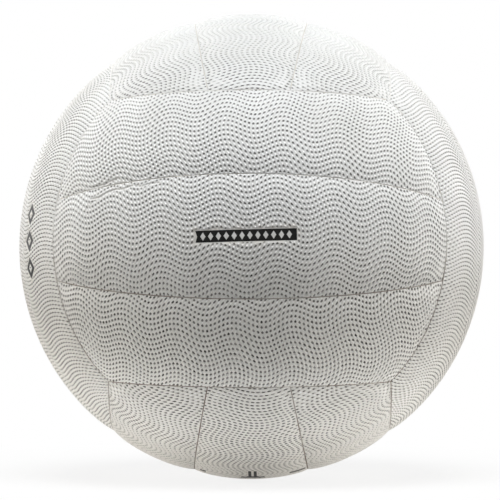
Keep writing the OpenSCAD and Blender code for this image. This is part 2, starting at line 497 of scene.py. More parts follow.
def bar_lozenges():
    """The row of lozenges on the bar."""
    first = -LOZENGE_PITCH * (LOZENGE_COUNT - 1) / 2
    return [
        turned(lozenge((first + k * LOZENGE_PITCH, 0), LOZENGE_HALF), BAR_TURN, BAR_CENTRE)
        for k in range(LOZENGE_COUNT)
    ]


# The hole in an open lozenge is smaller by the width of its printed line
hole_scale = 1 - SIDE_MARK_LINE * math.hypot(*SIDE_MARK_HALF) / (SIDE_MARK_HALF[0] * SIDE_MARK_HALF[1])
side_centres = [(along, SIDE_MARK_ACROSS) for along in SIDE_MARK_PLACES]
# Each mark: the panel it is on, its outlines, and for an open shape the outlines cut out of them
MARKS = {
    "front_bar_print": ("front", MIDDLE, [bar_outline()], []),
    "left_side_print": (
        "left", 0,
        [lozenge(c, SIDE_MARK_HALF) for c in side_centres],
        [lozenge(c, SIDE_MARK_HALF, hole_scale) for c in side_centres],
    ),
    "bottom_print": ("bottom", MIDDLE, [block(*b) for b in UNDER_BLOCKS + UNDER_STRIPES], []),
}
print("marks:", ", ".join(MARKS))

# %% [markdown]
# ## Distance to an outline
# To press a bed into the panel we need to know how far any point is from the edge of a mark.
# The function measures to every side of the outline and keeps the shortest distance.
# A ray crossing count then tells inside from outside, and inside counts as negative.

# %% Distance to an outline
def off_line(x, y, start, end):
    """Distance to a straight line between two points."""
    (ax, ay), (bx, by) = start, end
    dx, dy = bx - ax, by - ay
    share = np.clip(((x - ax) * dx + (y - ay) * dy) / (dx * dx + dy * dy), 0, 1)
    return np.hypot(x - ax - share * dx, y - ay - share * dy)


def off_outline(x, y, outline):
    """Distance to a closed outline: negative inside it."""
    shortest = np.full(x.shape, np.inf)
    inside = np.zeros(x.shape, bool)
    for start, end in zip(outline, outline[1:] + outline[:1]):
        shortest = np.minimum(shortest, off_line(x, y, start, end))
        (ax, ay), (bx, by) = start, end
        if ay != by:
            inside ^= ((ay > y) != (by > y)) & (x < ax + (y - ay) * (bx - ax) / (by - ay))
    return np.where(inside, -shortest, shortest)


def off_mark(x, y, outlines, holes):
    """Distance to the inked area of a mark: negative on the ink."""
    ink = np.min([off_outline(x, y, o) for o in outlines], axis=0)
    return np.maximum(ink, -np.min([off_outline(x, y, h) for h in holes], axis=0)) if holes else ink


bar_middle = off_mark(*np.array([BAR_CENTRE]).T, [bar_outline()], [])
print("the middle of the bar lies", round(-float(bar_middle[0]), 2), "mm inside its outline")

# %% [markdown]
# ## Creases
# Along the upper seam of the front, near its left end, the vinyl was gathered as it was sewn and has
# folded into fine creases. Each is a short line beside a seam: how far along it and how far away from it.
# A crease is a narrow groove with a soft swelling on both sides. A few shorter ones go beside seams
# elsewhere, because no sewn ball is perfectly smooth.

# %% Creases beside the seams
CREASE_DEPTH, CREASE_HALF_WIDTH, CREASE_SWELL = 0.7, 0.45, 0.16
CREASE_STRETCH = 0.85
SWELL_WIDTHS = 3
# Each crease: face, strip, seam (0 the lower, 1 the upper, 2 and 3 the ends), then its points in mm as
# (along the seam, away from it), and its strength
CREASES = (
    ("front", 0, 3, ((-12.0, 2.6), (-7.7, 3.0), (-4.0, 3.5), (2.7, 3.8), (6.0, 2.2), (9.0, 1.0)), 0.7),
    ("front", 0, 3, ((-14.0, 0.9), (-6.0, 1.3), (0.0, 1.6), (5.0, 1.2)), 0.5),
    ("front", 2, 0, ((-71.6, 0.6), (-64.4, 0.9), (-60.2, 1.9), (-57.2, 2.4)), 0.8),
    ("front", 1, 1, (
        (-71.4, 4.4), (-66.9, 4.5), (-62.6, 3.0), (-58.7, 2.3), (-55.5, 2.8), (-50.1, 1.9),
    ), 1.0),
    ("front", 1, 1, ((-48.7, 2.3), (-45.8, 2.9), (-42.6, 2.0), (-37.7, 2.1)), 0.8),
    ("front", 1, 1, ((-74.5, 9.2), (-72.0, 7.0), (-69.5, 5.4)), 0.5),
    ("back", 2, 0, ((22.0, 2.4), (30.0, 1.7), (37.0, 2.6)), 0.7),
    ("back", 0, 1, ((-58.0, 2.1), (-51.0, 2.8), (-45.0, 1.8)), 0.6),
    ("top", 1, 0, ((38.0, 2.0), (44.0, 2.9), (52.0, 2.2)), 0.6),
    ("right", 1, 1, ((-34.0, 2.5), (-27.0, 1.9), (-21.0, 2.4)), 0.7),
    ("left", 2, 0, ((40.0, 2.2), (47.0, 2.8), (54.0, 2.0)), 0.6),
    ("bottom", 0, 1, ((-50.0, 2.2), (-43.0, 1.7), (-38.0, 2.4)), 0.6),
)


def along_seam(rays, strip, seam_index):
    """How far along a cross seam each direction lies, from the middle of the face, in mm."""
    lean, place = CROSS_SEAMS[strip + seam_index]
    turn = np.arctan2(rays[:, 0], rays @ seam_front(lean))
    return turn * BALL_R * math.sin(math.radians(90 - place + lean))


def creased(rays, distances, across, face, strip):
    """How far the creases of a panel sink, and how far they stretch its pits away."""
    drop, stretched = np.zeros(len(rays)), np.zeros(len(rays))
    for crease_face, crease_strip, seam_index, line, strength in CREASES:
        if (crease_face, crease_strip) != (face, strip):
            continue
        x = along_seam(rays, strip, seam_index) if seam_index < 2 else across
        y = distances[:, seam_index]
        nearest = np.min([off_line(x, y, start, end) for start, end in zip(line, line[1:])], axis=0)
        groove = np.exp(-(nearest / CREASE_HALF_WIDTH) ** 2)
        swell = np.exp(-(nearest / (SWELL_WIDTHS * CREASE_HALF_WIDTH)) ** 2)
        drop += strength * (CREASE_DEPTH * groove - CREASE_SWELL * swell)
        stretched = np.maximum(stretched, strength * CREASE_STRETCH * swell)
    return drop, stretched


print("creases:", len(CREASES), "on", len({crease[:2] for crease in CREASES}), "panels")

# %% [markdown]
# ## The upper and the lower end of a pit
# The light comes from above, so the upper end of each pit lies in the shade of its own lip. Where a panel
# turns to face up, light falls straight in and that shade weakens. Where it turns to face down, the shade
# spreads over all but the lower end of the pit. The bottom face is lit by the floor, so there the two
# ends change places.
# The finish paints this shade, and a highlight on the other end, into the vinyl's colour.

# %% Ends of a pit
# How much the shade weakens or spreads, and the ranges of steepness and of facing over which it does so
LIP_HIGH, LIP_LOW, LIP_NARROW, LIP_UNDER = 0.68, 0.95, 0.9, 0.6
STEEP, TURNED_UP, TURNED_DOWN, UNDERNEATH = (0.1, 0.4), (0.25, 0.85), (-0.1, 0.6), (0.7, 1)
LOWER_END = -0.5
LEAST_PULL = 0.01


def lip_side(rays, column, row, face, strip):
    """Runs from -1 at the lower end of each pit to 1 at its upper end, where the light doesn't reach. The
    finish paints shade and highlight by it.
    """
    pole = strip_ruler(strip)[0]
    upward = face_turn(face)[2]
    ways = (np.cross(pole, rays), pole - (rays @ pole)[:, None] * rays)
    rise = [way @ upward / np.linalg.norm(way, axis=1) for way in ways]
    pull = [up * half * pitch for up, half, pitch in zip(rise, PIT_HALF, (PIT_ALONG, PIT_ACROSS))]
    spot = in_pit(column, row)
    side = sum(p * q for p, q in zip(pull, spot)) / np.maximum(np.hypot(*pull), LEAST_PULL)
    facing_up = rays @ upward
    if face == "bottom":
        return -side * (1 - LIP_UNDER * ease(-facing_up, *UNDERNEATH))
    side *= ease(np.hypot(*rise), *STEEP) * (1 - LIP_HIGH * ease(facing_up, *TURNED_UP))
    below = ease(-facing_up, *TURNED_DOWN) * (LIP_LOW - LIP_NARROW * spot[0] ** 2)
    return np.where(side > LOWER_END, side + below, side)


face_middle = np.array([(0.0, 0.0, 1.0)])
ends = [lip_side(face_middle, np.array([0.5]), np.array([r]), "front", MIDDLE)[0] for r in (0.2, 0.8)]
print("the lower and upper end of a pit on the front count as", [round(float(e), 2) for e in ends])

# %% [markdown]
# ## All of it together
# One function gives the radius of every point of a panel: pillow, rolled edge, puckers, creases, pits and
# the pressed beds. The pits fade out in the last half millimetre before a seam, on a pressed bed and
# round the valve. Inside the rolled edge the outside always stays a hair above the underside, so that
# the foam and cloth behind a thin place never show through the floor of a pit.
# The function also keeps four facts for the materials: how deep in a pit a point is, whether it is at
# the upper or the lower end of that pit, how near a seam it lies, and how near a stamped mark.

# %% Radius of every point of a panel
PRESS_DEPTH, PRESS_MARGIN = 0.3, (0.35, 0.9)
NEAR_SEAM = 0.42
SMUDGE_REACH = 3.0
HOLE_FADE = (0.9, 1.7)
UNEVEN_SEED = 40
# The thickness of the vinyl and its thinnest place, and the round of the shallow tray under it, in mm
SKIN, THINNEST = 1.0, 0.05
TRAY_R, TRAY_WIDTH = 6.0, 4.0


def tray_drop(x):
    """The fall of the underside beside a seam, which leaves room for the foam and cloth below it."""
    r = TRAY_R - SKIN
    return r - np.sqrt(np.maximum(r ** 2 - (TRAY_WIDTH - np.clip(x, SKIN, TRAY_WIDTH)) ** 2, 0))


def underside(rays, seams):
    """How far the underside of the vinyl lies below the ball's surface."""
    return SKIN + joined_drop(np.maximum(from_seams(rays, seams), SKIN), tray_drop)


def cover_height(rays, column, row, face, strip):
    """The radius at each direction on a panel, and the facts that its material reads."""
    places = rays @ face_turn(face).T * BALL_R
    along, across = place_on_strip(rays, strip)
    seams = panel_seams(strip)
    distances = from_seams(rays, seams)
    nearest = distances.min(1)
    seed = panel_number(face, strip)
    drop = joined_drop(distances, edge_drop)
    drop += PUCKER_DEPTH * (1 + ripple(places, PUCKER_LENGTH, seed)) / 2 * np.exp(-nearest / PUCKER_REACH)
    drop += UNEVEN_DEPTH * (1 + ripple(places, UNEVEN_LENGTH, UNEVEN_SEED + seed)) / 2
    fold, stretched = creased(rays, distances, across, face, strip)
    drop += fold
    pit = pit_shape(column, row) * ease(nearest, *PIT_FADE) * (1 - stretched)
    pressed, smudge = np.zeros(len(rays)), np.zeros(len(rays))
    for mark_face, mark_strip, outlines, holes in MARKS.values():
        if (mark_face, mark_strip) == (face, strip):
            off = off_mark(along, across, outlines, holes)
            pressed = np.maximum(pressed, 1 - ease(off, *PRESS_MARGIN))
            smudge = np.maximum(smudge, 1 - ease(off, 0, SMUDGE_REACH))
    if (face, strip) == VALVE_PANEL:
        off = np.hypot(along, across) - HOLE_R
        pit *= ease(off, *HOLE_FADE)
        drop += rolled(off, HOLE_ROLL)
    drop += PIT_DEPTH * pit * (1 - pressed) + PRESS_DEPTH * pressed
    facts = {
        "pit": pit * (1 - pressed),
        "lip": lip_side(rays, column, row, face, strip),
        "seam": 1 - ease(nearest, 0, NEAR_SEAM),
        "smudge": smudge,
    }
    drop = np.where(nearest > ROLL_R, np.minimum(drop, underside(rays, seams) - THINNEST), drop)
    return BALL_R - np.maximum(drop, 0), facts


middle_radius = cover_height(face_middle, np.zeros(1), np.zeros(1), "top", MIDDLE)[0]
print("in the middle of the top the vinyl's radius is", round(float(middle_radius[0]), 2), "mm")

# %% [markdown]
# ## The folded edge and the underside
# A real panel is a tray: its rim is turned in at the seams and lies on the bladder.
# From the open edge we go down to the bladder, in by one thickness of vinyl and up again to the underside.
# At the corners of the panel many points of the inner ring fall almost on one spot. They are gathered
# into one, because faces between them would fold over each other.
# The underside is never seen, so it gets few faces. A triangulation that respects given edges fills it.

# %% Rim and underside
TURN_IN = 4.0
CORNER_REACH = 0.4
UNDERSIDE_PITCH = 9.0
STEP_ROUNDS = 5
CLOSE_TOGETHER, NO_AREA = 1e-4, 1e-9


def step_in(rays, seams, inset):
    """Directions moved away from the seams until they are this far inside the panel."""
    rays = rays.copy()
    for _ in range(STEP_ROUNDS):
        for k, (axis, _, side) in enumerate(seams):
            short = np.maximum(inset - from_seams(rays, seams)[:, k], 0) / BALL_R
            level = rays @ axis
            uphill = (axis - level[:, None] * rays) / np.sqrt(1 - level ** 2)[:, None]
            rays += side * short[:, None] * uphill
            rays /= np.linalg.norm(rays, axis=1)[:, None]
    return rays


def gather_corners(ring, seams):
    """A ring inside the rim, with the crowded points at each corner drawn together into one."""
    second = np.sort(from_seams(ring, seams), axis=1)[:, 1]
    crowd = np.nonzero(second < SKIN + CORNER_REACH)[0]
    gathered = ring.copy()
    for i in crowd:
        close = crowd[ring[crowd] @ ring[i] > math.cos(TURN_IN / BALL_R)]
        gathered[i] = ring[close[np.argmin(second[close])]]
    return gathered


def fill_flat(rounds, loose):
    """Triangles between closed rounds of (x, y) points, the outer round first, through loose points."""
    spots = np.concatenate([*rounds, loose]) if len(loose) else np.concatenate(rounds)
    sides, first = [], 0
    for r in rounds:
        sides += [(first + k, first + (k + 1) % len(r)) for k in range(len(r))]
        first += len(r)
    found = delaunay_2d_cdt([Vector(s) for s in spots], sides, [], 0, CLOSE_TOGETHER, True)
    source = [ids[0] for ids in found[3]]
    triangles = np.array([[source[i] for i in t] for t in found[2]])
    centre = spots[triangles].mean(1)
    keep = off_outline(*centre.T, rounds[0].tolist()) < 0
    for r in rounds[1:]:
        keep &= off_outline(*centre.T, r.tolist()) > 0
    triangles = triangles[keep]
    a, b, c = spots[triangles].transpose(1, 0, 2)
    clockwise = np.cross(b - a, c - a) < 0
    triangles[clockwise] = triangles[clockwise][:, ::-1]
    return triangles[np.abs(np.cross(b - a, c - a)) > NO_AREA]


def wall_down(above, below):
    """Four-sided faces from one round of points down to the next, or three-sided where two points meet."""
    wall = np.stack([np.roll(above, -1), above, below, np.roll(below, -1)], 1).tolist()
    wall = [list(dict.fromkeys(f)) for f in wall]
    return [f for f in wall if len(f) > 2]


def fold_rim(rim, edge, seams, first):
    """The turned-in rim, numbered from first: its directions, radii, faces and the round it ends on."""
    inner = gather_corners(step_in(rim, seams, SKIN), seams)
    levels = ((rim, BALL_R - TURN_IN), (inner, BALL_R - TURN_IN), (inner, BALL_R - underside(inner, seams)))
    rays, radius, faces = [], [], []
    above = edge
    for ring, height in levels:
        new = np.any(ring != np.roll(ring, 1, axis=0), axis=1)
        below = first + (np.cumsum(new) - 1) % new.sum()
        faces += wall_down(above, below)
        rays.append(ring[new])
        radius.append(np.broadcast_to(height, len(ring))[new])
        above = below
        first += new.sum()
    return np.concatenate(rays), np.concatenate(radius), faces, above[new]


def underside_spots(strip, seams, round_hole):
    """Loose points for the underside, well inside the panel and clear of a hole this wide."""
    spots = np.stack(np.meshgrid(
        np.arange(-GRID_REACH_ALONG, GRID_REACH_ALONG, UNDERSIDE_PITCH),
        np.arange(-GRID_REACH_ACROSS, GRID_REACH_ACROSS, UNDERSIDE_PITCH / 2),
    ), -1).reshape(-1, 2)
    rays = ray_at(*spots.T, strip)
    wanted = (from_seams(rays, seams).min(1) > 2 * SKIN) & (np.hypot(*spots.T) > round_hole)
    return spots[wanted], rays[wanted]


print("loose points under a middle strip:", len(underside_spots(MIDDLE, panel_seams(MIDDLE), 0)[0]))

# %% [markdown]
# ## A round hole for the valve
# The grid of pits leaves a ragged opening where the valve comes through. A collar of rings fills it up
# to a true circle. The rings lie closer together towards the hole, so that they can bend round its
# rolled edge, and their faces come from the same triangulation as the underside.

# %% Collar round the valve hole
HOLE_STEPS = 56
COLLAR_RINGS = (0.0, 0.12, 0.3, 0.6, 1.0)


def collar(points, column, row, faces, ragged):
    """The sheet closed to a round hole, and the round of points that is its new open edge."""
    turns = np.arange(HOLE_STEPS) * 2 * np.pi / HOLE_STEPS
    rings = [(HOLE_R + out) * np.stack([np.cos(turns), np.sin(turns)], 1) for out in COLLAR_RINGS]
    flat = np.stack(place_on_strip(points[ragged] / BALL_R, MIDDLE), 1)
    spots = np.concatenate(rings)
    first = len(points)
    number = np.concatenate([ragged, first + np.arange(len(spots))])
    faces += number[fill_flat([flat, rings[0]], spots[HOLE_STEPS:])].tolist()
    points = np.concatenate([points, ray_at(*spots.T, MIDDLE) * BALL_R])
    plain = np.zeros(len(spots))
    edge = first + np.arange(HOLE_STEPS)[::-1]
    return points, np.concatenate([column, plain]), np.concatenate([row, plain]), faces, edge


print("the collar has", len(COLLAR_RINGS), "rings of", HOLE_STEPS, "points")

# %% [markdown]
# ## What a panel hands to its finish
# The facts about the pits and seams are stored on the points, where a material can read them.
# Each panel also gets a flat map of itself, for baking its finish: the outer side fills most of
# the map's square and the hidden underside a thin band of it. The rim stands upright on that map,
# so it is pushed outwards a little to give it some width.

# %% Facts, flat map and smooth faces
BAKE_BAND = 0.1
BAKE_MARGIN = 0.03
RIM_PUSH = 1.5
CRISP = math.radians(35)


def flat_map(along, across, low, high):
    """A place on the strip as a place in a band of the unit square."""
    x = 0.5 + along / (2 * GRID_REACH_ALONG)
    y = low + (high - low) * (0.5 + across / (2 * GRID_REACH_ACROSS))
    return np.stack([x, y], 1)


def finish_panel(mesh, strip, facts, rays, smooth_faces, upper_faces):
    """Stores the facts and the map. The first faces are smooth, and all up to the rim lie high on it."""
    outer_points = len(facts["pit"])
    for name, known in facts.items():
        values = np.full(len(rays), 1.0 if name == "seam" else 0.0, np.float32)
        values[:outer_points] = known
        mesh.attributes.new(name, "FLOAT", "POINT").data.foreach_set("value", values)
    along, across = place_on_strip(rays, strip)
    push = np.where(np.arange(len(rays)) < outer_points, 0, RIM_PUSH)
    grow = 1 + push / np.maximum(np.hypot(along, across), 1)
    upper = flat_map(along * grow, across * grow, BAKE_BAND + BAKE_MARGIN, 1)
    lower = flat_map(along, across, 0, BAKE_BAND)
    corner = numbers_of(mesh.loops, "vertex_index", np.int32)
    in_upper = np.arange(len(corner)) < mesh.polygons[upper_faces].loop_start
    spots = np.where(in_upper[:, None], upper[corner], lower[corner])
    mesh.uv_layers.new(name="OFBake").data.foreach_set("uv", spots.astype(np.float32).ravel())
    smooth = np.arange(len(mesh.polygons)) < smooth_faces
    mesh.polygons.foreach_set("use_smooth", smooth)
    mesh.set_sharp_from_angle(angle=CRISP)
    mesh.update()


print("share of the map for the underside:", BAKE_BAND)

# %% [markdown]
# ## One panel from start to finish
# Now the steps meet: trim the sheet, close the collar on the panel that holds the valve, set every radius,
# fold the rims and fill the underside, then turn the panel to its place.
# The points of each step are numbered after those of the step before, so the faces can be listed as we go.

# %% Make a panel
def make_panel(face, strip):
    """A finished panel as one closed mesh, in its place on the ball."""
    seams = panel_seams(strip)
    sheet = trimmed_sheet(face, strip)
    points, faces, step = read_sheet(sheet)
    column, row = (numbers_of(sheet.attributes[n].data, "value").astype(float) for n in ("column", "row"))
    bpy.data.meshes.remove(sheet)
    rounds = walk(step)
    edge = rounds[0]
    has_hole = (face, strip) == VALVE_PANEL
    if has_hole:
        points, column, row, faces, hole = collar(points, column, row, faces, rounds[1])
    rays = points / np.linalg.norm(points, axis=1)[:, None]
    radius, facts = cover_height(rays, column, row, face, strip)
    smooth_faces = len(faces) + len(edge)

    rim_rays, rim_radius, rim_faces, floor_round = fold_rim(rays[edge], edge, seams, len(rays))
    faces += rim_faces
    floor_rounds = [floor_round]
    if has_hole:
        below = len(rays) + len(rim_rays) + np.arange(len(hole))
        faces += wall_down(hole, below)
        rim_rays = np.concatenate([rim_rays, rays[hole]])
        rim_radius = np.concatenate([rim_radius, np.full(len(hole), BALL_R - SKIN)])
        floor_rounds.append(below)
    rays, radius = np.concatenate([rays, rim_rays]), np.concatenate([radius, rim_radius])
    upper_faces = len(faces)

    spots, spot_rays = underside_spots(strip, seams, HOLE_R + SKIN if has_hole else 0)
    flat = np.stack(place_on_strip(rays, strip), 1)
    triangles = fill_flat([flat[r] for r in floor_rounds], spots)
    number = np.concatenate([*floor_rounds, len(rays) + np.arange(len(spots))])
    faces += number[triangles][:, ::-1].tolist()
    rays = np.concatenate([rays, spot_rays])
    radius = np.concatenate([radius, BALL_R - underside(spot_rays, seams)])

    mesh = bpy.data.meshes.new(f"{face}_{FACES[face][1][strip]}_cover")
    mesh.from_pydata(rays * radius[:, None] @ face_turn(face).T * MM, [], faces)
    finish_panel(mesh, strip, facts, rays, smooth_faces, upper_faces)
    return mesh


print("panels to make:", sum(len(strips) for _, strips in FACES.values()))

# %% [markdown]
# ## Finishes from nodes
# No finish here is one flat colour. Each is built from a few procedural nodes: noise that shifts the
# colour a little, noise that makes the gloss uneven, and a fine grain that tilts the light.
# The grain is measured in grains per metre, so it has the right size on a small ball.
# This helper makes such a finish; the vinyl and the cloth then add what is special to them.

# %% A mottled finish
WHITE = (1.0, 1.0, 1.0, 1.0)
# Noise stays mostly between these two values, so they are spread over the whole range
NOISE_LOW, NOISE_HIGH = 0.3, 0.7
GRAIN_STRENGTH, GRAIN_DETAIL = 0.6, 2.0
GLOSS_PATCHES = 3


def node(tree, kind, **settings):
    """A new node with its settings."""
    made = tree.nodes.new(kind)
    for name, value in settings.items():
        setattr(made, name, value)
    return made


def noise(tree, spots, per_metre, detail=3.0, roughness=0.55):
    """Cloudy noise with about this many patches in a metre."""
    made = node(tree, "ShaderNodeTexNoise")
    made.inputs["Scale"].default_value = per_metre
    made.inputs["Detail"].default_value = detail
    made.inputs["Roughness"].default_value = roughness
    tree.links.new(spots, made.inputs["Vector"])
    return made.outputs["Fac"]


def spread(tree, source, low, high, to_low, to_high):
    """A number between low and high, carried over to a new range and held at its ends."""
    made = node(tree, "ShaderNodeMapRange")
    for name, value in (("From Min", low), ("From Max", high), ("To Min", to_low), ("To Max", to_high)):
        made.inputs[name].default_value = value
    tree.links.new(source, made.inputs["Value"])
    return made.outputs["Result"]


def patches_of(tree, spots, per_metre, to_low=0, to_high=1):
    """Noise spread evenly over a range."""
    return spread(tree, noise(tree, spots, per_metre), NOISE_LOW, NOISE_HIGH, to_low, to_high)


def joined(tree, rule, first, second):
    """One number made from two by a rule such as MULTIPLY or MAXIMUM."""
    made = node(tree, "ShaderNodeMath", operation=rule)
    for socket, value in zip(made.inputs, (first, second)):
        tree.links.new(value, socket)
    return made.outputs[0]


def blend_colour(tree, share, first, second):
    """The first colour, turning into the second as the share grows. Each can be a colour or a socket."""
    made = node(tree, "ShaderNodeMix", data_type="RGBA")
    for name, value in (("Factor", share), ("A", first), ("B", second)):
        socket = [i for i in made.inputs if i.name == name and i.type in ("RGBA", "VALUE") and i.enabled][0]
        if isinstance(value, bpy.types.NodeSocket):
            tree.links.new(value, socket)
        else:
            socket.default_value = value
    return [o for o in made.outputs if o.type == "RGBA"][0]


def mottled(name, dark, light, patches, grain, grain_depth, gloss, shine=None):
    """A finish whose colour wanders between two tones. Patches and grains are counted in a metre."""
    finish = bpy.data.materials.new(name)
    finish.use_nodes = True
    tree = finish.node_tree
    shader = tree.nodes["Principled BSDF"]
    spots = node(tree, "ShaderNodeTexCoord").outputs["Object"]
    colour = blend_colour(tree, patches_of(tree, spots, patches), (*dark, 1), (*light, 1))
    tree.links.new(colour, shader.inputs["Base Color"])
    roughness = patches_of(tree, spots, patches * GLOSS_PATCHES, *gloss)
    tree.links.new(roughness, shader.inputs["Roughness"])
    if shine is not None:
        shader.inputs["Specular IOR Level"].default_value = shine
    bump = node(tree, "ShaderNodeBump")
    bump.inputs["Strength"].default_value = GRAIN_STRENGTH
    bump.inputs["Distance"].default_value = grain_depth
    tree.links.new(noise(tree, spots, grain, GRAIN_DETAIL), bump.inputs["Height"])
    tree.links.new(bump.outputs["Normal"], shader.inputs["Normal"])
    return finish, spots, colour


def recolour(finish, colour):
    """Gives a finish another colour, made by more nodes."""
    tree = finish.node_tree
    tree.links.new(colour, tree.nodes["Principled BSDF"].inputs["Base Color"])
    return finish


print("every finish mixes noise between", NOISE_LOW, "and", NOISE_HIGH)

# %% [markdown]
# ## White embossed vinyl
# The cover is soft white PVC with a slightly satin face. The light comes from above, so the upper end of
# each pit lies in the shade of its own lip and the lower end catches the light.
# A pit is four picture points wide here, too small for lamps alone to draw it clearly, so the finish helps:
# it paints the shaded end nearly black and the lit end a little whiter than the skin between the pits.
# The attributes stored on the panels tell the nodes where that is. They also place the brown tint on the
# turned edges beside the seams and a faint beige smudge round the stamped marks, as on the real ball.
# The lower half is painted a trace warmer than the top: painted warm light, as from below.

# %% Vinyl
VINYL_DARK, VINYL_LIGHT = (0.735, 0.735, 0.722), (0.79, 0.79, 0.785)
VINYL_LOOK = {"patches": 28, "grain": 5200, "grain_depth": 0.00002, "gloss": (0.42, 0.54), "shine": 0.3}
# Painted shade for the end of a pit that lies under its lip, and painted highlight for its lit end
PAINTED_PIT_SHADE = (0.04, 0.036, 0.03, 1)
PAINTED_PIT_HIGHLIGHT = (0.97, 0.97, 0.97, 1)
SEAM_TONE = (0.15, 0.085, 0.045, 1)
SMUDGE_TONE = (0.80, 0.75, 0.68, 1)
PAINTED_WARM_TONE = (0.79, 0.755, 0.69, 1)
# Between these heights, in metres, the painted warm light fades out upwards and the seams turn from brown
# to pale
PAINTED_WARM_HEIGHT, PAINTED_WARM_SHARE = (-0.045, 0.01), 0.6
STAIN_HEIGHT, LEAST_STAIN = (-0.035, 0.012), 0.06
STAIN_PATCHES, STAIN_NOISE, STAIN_WEAKEST = 45, (0.36, 0.56), 0.55
# Where paint counts a point as inside a pit, and which values of the lip get painted shade and which a
# painted highlight
PIT_EDGE, SHADE_FROM, LIGHT_FROM = (0.02, 0.3), (0.22, 0.34), (-0.25, -0.5)
SHADE_PATCHES, SHADE_WEAKEST = 330, 0.55
SEAM_EDGE, SEAM_SHARE = (0.3, 1.0), 0.9
SMUDGE_PATCHES, SMUDGE_NOISE, SMUDGE_SHARE = 220, (0.4, 0.7), 0.55


def height_of(tree, spots):
    """The height of each spot above the middle of the ball."""
    split = node(tree, "ShaderNodeSeparateXYZ")
    tree.links.new(spots, split.inputs[0])
    return split.outputs["Z"]


def seam_stain(tree, spots):
    """How brown a seam is: in patches, and more on the lower half of the ball."""
    low = spread(tree, height_of(tree, spots), *STAIN_HEIGHT, 1.0, LEAST_STAIN)
    patchy = spread(tree, noise(tree, spots, STAIN_PATCHES), *STAIN_NOISE, STAIN_WEAKEST, 1.0)
    return joined(tree, "MULTIPLY", low, patchy)


def vinyl_finish():
    """The mottled vinyl with painted shade and highlight in its pits, its seams, smudges and painted warm
    light on its lower half.
    """
    finish, spots, colour = mottled("embossed_white_vinyl", VINYL_DARK, VINYL_LIGHT, **VINYL_LOOK)
    tree = finish.node_tree
    known = {
        name: node(tree, "ShaderNodeAttribute", attribute_name=name).outputs["Fac"]
        for name in ("pit", "lip", "seam", "smudge")
    }
    # Painted warm light from below, over the lower half of the ball
    painted_warmth = spread(tree, height_of(tree, spots), *PAINTED_WARM_HEIGHT, PAINTED_WARM_SHARE, 0)
    inside = spread(tree, known["pit"], *PIT_EDGE, 0, 1)
    # Painted shade on the end of each pit that lies under its lip
    shaded = joined(tree, "MULTIPLY", inside, spread(tree, known["lip"], *SHADE_FROM, 0, 1))
    patchy = patches_of(tree, spots, SHADE_PATCHES, SHADE_WEAKEST, 1)
    # Painted highlight on the end of each pit that faces the light
    lit = joined(tree, "MULTIPLY", inside, spread(tree, known["lip"], *LIGHT_FROM, 0, 1))
    close = spread(tree, known["seam"], *SEAM_EDGE, 0, SEAM_SHARE)
    faint = spread(tree, noise(tree, spots, SMUDGE_PATCHES), *SMUDGE_NOISE, 0, SMUDGE_SHARE)
    for share, tone in (
        (painted_warmth, PAINTED_WARM_TONE),
        (joined(tree, "MULTIPLY", shaded, patchy), PAINTED_PIT_SHADE),
        (lit, PAINTED_PIT_HIGHLIGHT),
        (joined(tree, "MULTIPLY", close, seam_stain(tree, spots)), SEAM_TONE),
        (joined(tree, "MULTIPLY", known["smudge"], faint), SMUDGE_TONE),
    ):
        colour = blend_colour(tree, share, colour, tone)
    return recolour(finish, colour)


vinyl = vinyl_finish()
print("finish:", vinyl.name, len(vinyl.node_tree.nodes), "nodes")

# %% [markdown]
# ## Eighteen panels
# Each new panel takes the place of its plain solid, which is hidden but still there for the physics.
# It rides on the ball's one body and takes the vinyl finish.

# %% Sew on the panels
def new_piece(name, mesh, *stands_for, finish, slot):
    """A piece that rides on the ball and takes the place of the plain solids that it is given."""
    piece = bpy.data.objects.new(name, mesh)
    bpy.context.scene.collection.objects.link(piece)
    mesh.materials.append(finish)
    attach(piece, "root")
    if stands_for:
        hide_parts(*stands_for)
    return piece


panel_pieces = []
for face, (_, strips) in FACES.items():
    for strip, strip_name in enumerate(strips):
        mesh = make_panel(face, strip)
        plain = f"{face}_{strip_name}_panel"
        piece = new_piece(f"{face}_{strip_name}_cover", mesh, plain, finish=vinyl, slot="cover")
        panel_pieces.append(piece)
triangles = [sum(len(f.vertices) - 2 for f in p.data.polygons) for p in panel_pieces]
print("panels:", len(panel_pieces), "triangles:", sum(triangles), "and in the largest", max(triangles))

# %% [markdown]
# ## Ink in the pressed beds
# Each mark is a thin layer of ink with a real thickness, lying in the bed that was pressed for it.
# Its outline is filled with small triangles, so that it can follow the round of the ball,
# and the layer is closed with an underside and a rim. The front bar carries a second, pale layer of
# lozenges, which lies a hair higher than the black one.

# %% Lay the ink
INK_PROUD, INK_THICK, PALE_PROUD = 0.03, 0.05, 0.05
INK_STEP = 0.8
BLACK_INK = ((0.006, 0.006, 0.006), (0.016, 0.016, 0.015))
PALE_INK = ((0.70, 0.70, 0.68), (0.80, 0.80, 0.78))
INK_LOOK = {"patches": 300, "grain": 3000, "grain_depth": 0.00002, "gloss": (0.4, 0.55)}
BLACK_INK_SHINE = 0.15


def dense(outline):
    """The outline with extra points along its sides."""
    points = []
    for (ax, ay), (bx, by) in zip(outline, outline[1:] + outline[:1]):
        count = max(1, round(math.dist((ax, ay), (bx, by)) / INK_STEP))
        points += [(ax + (bx - ax) * k / count, ay + (by - ay) * k / count) for k in range(count)]
    return np.array(points)


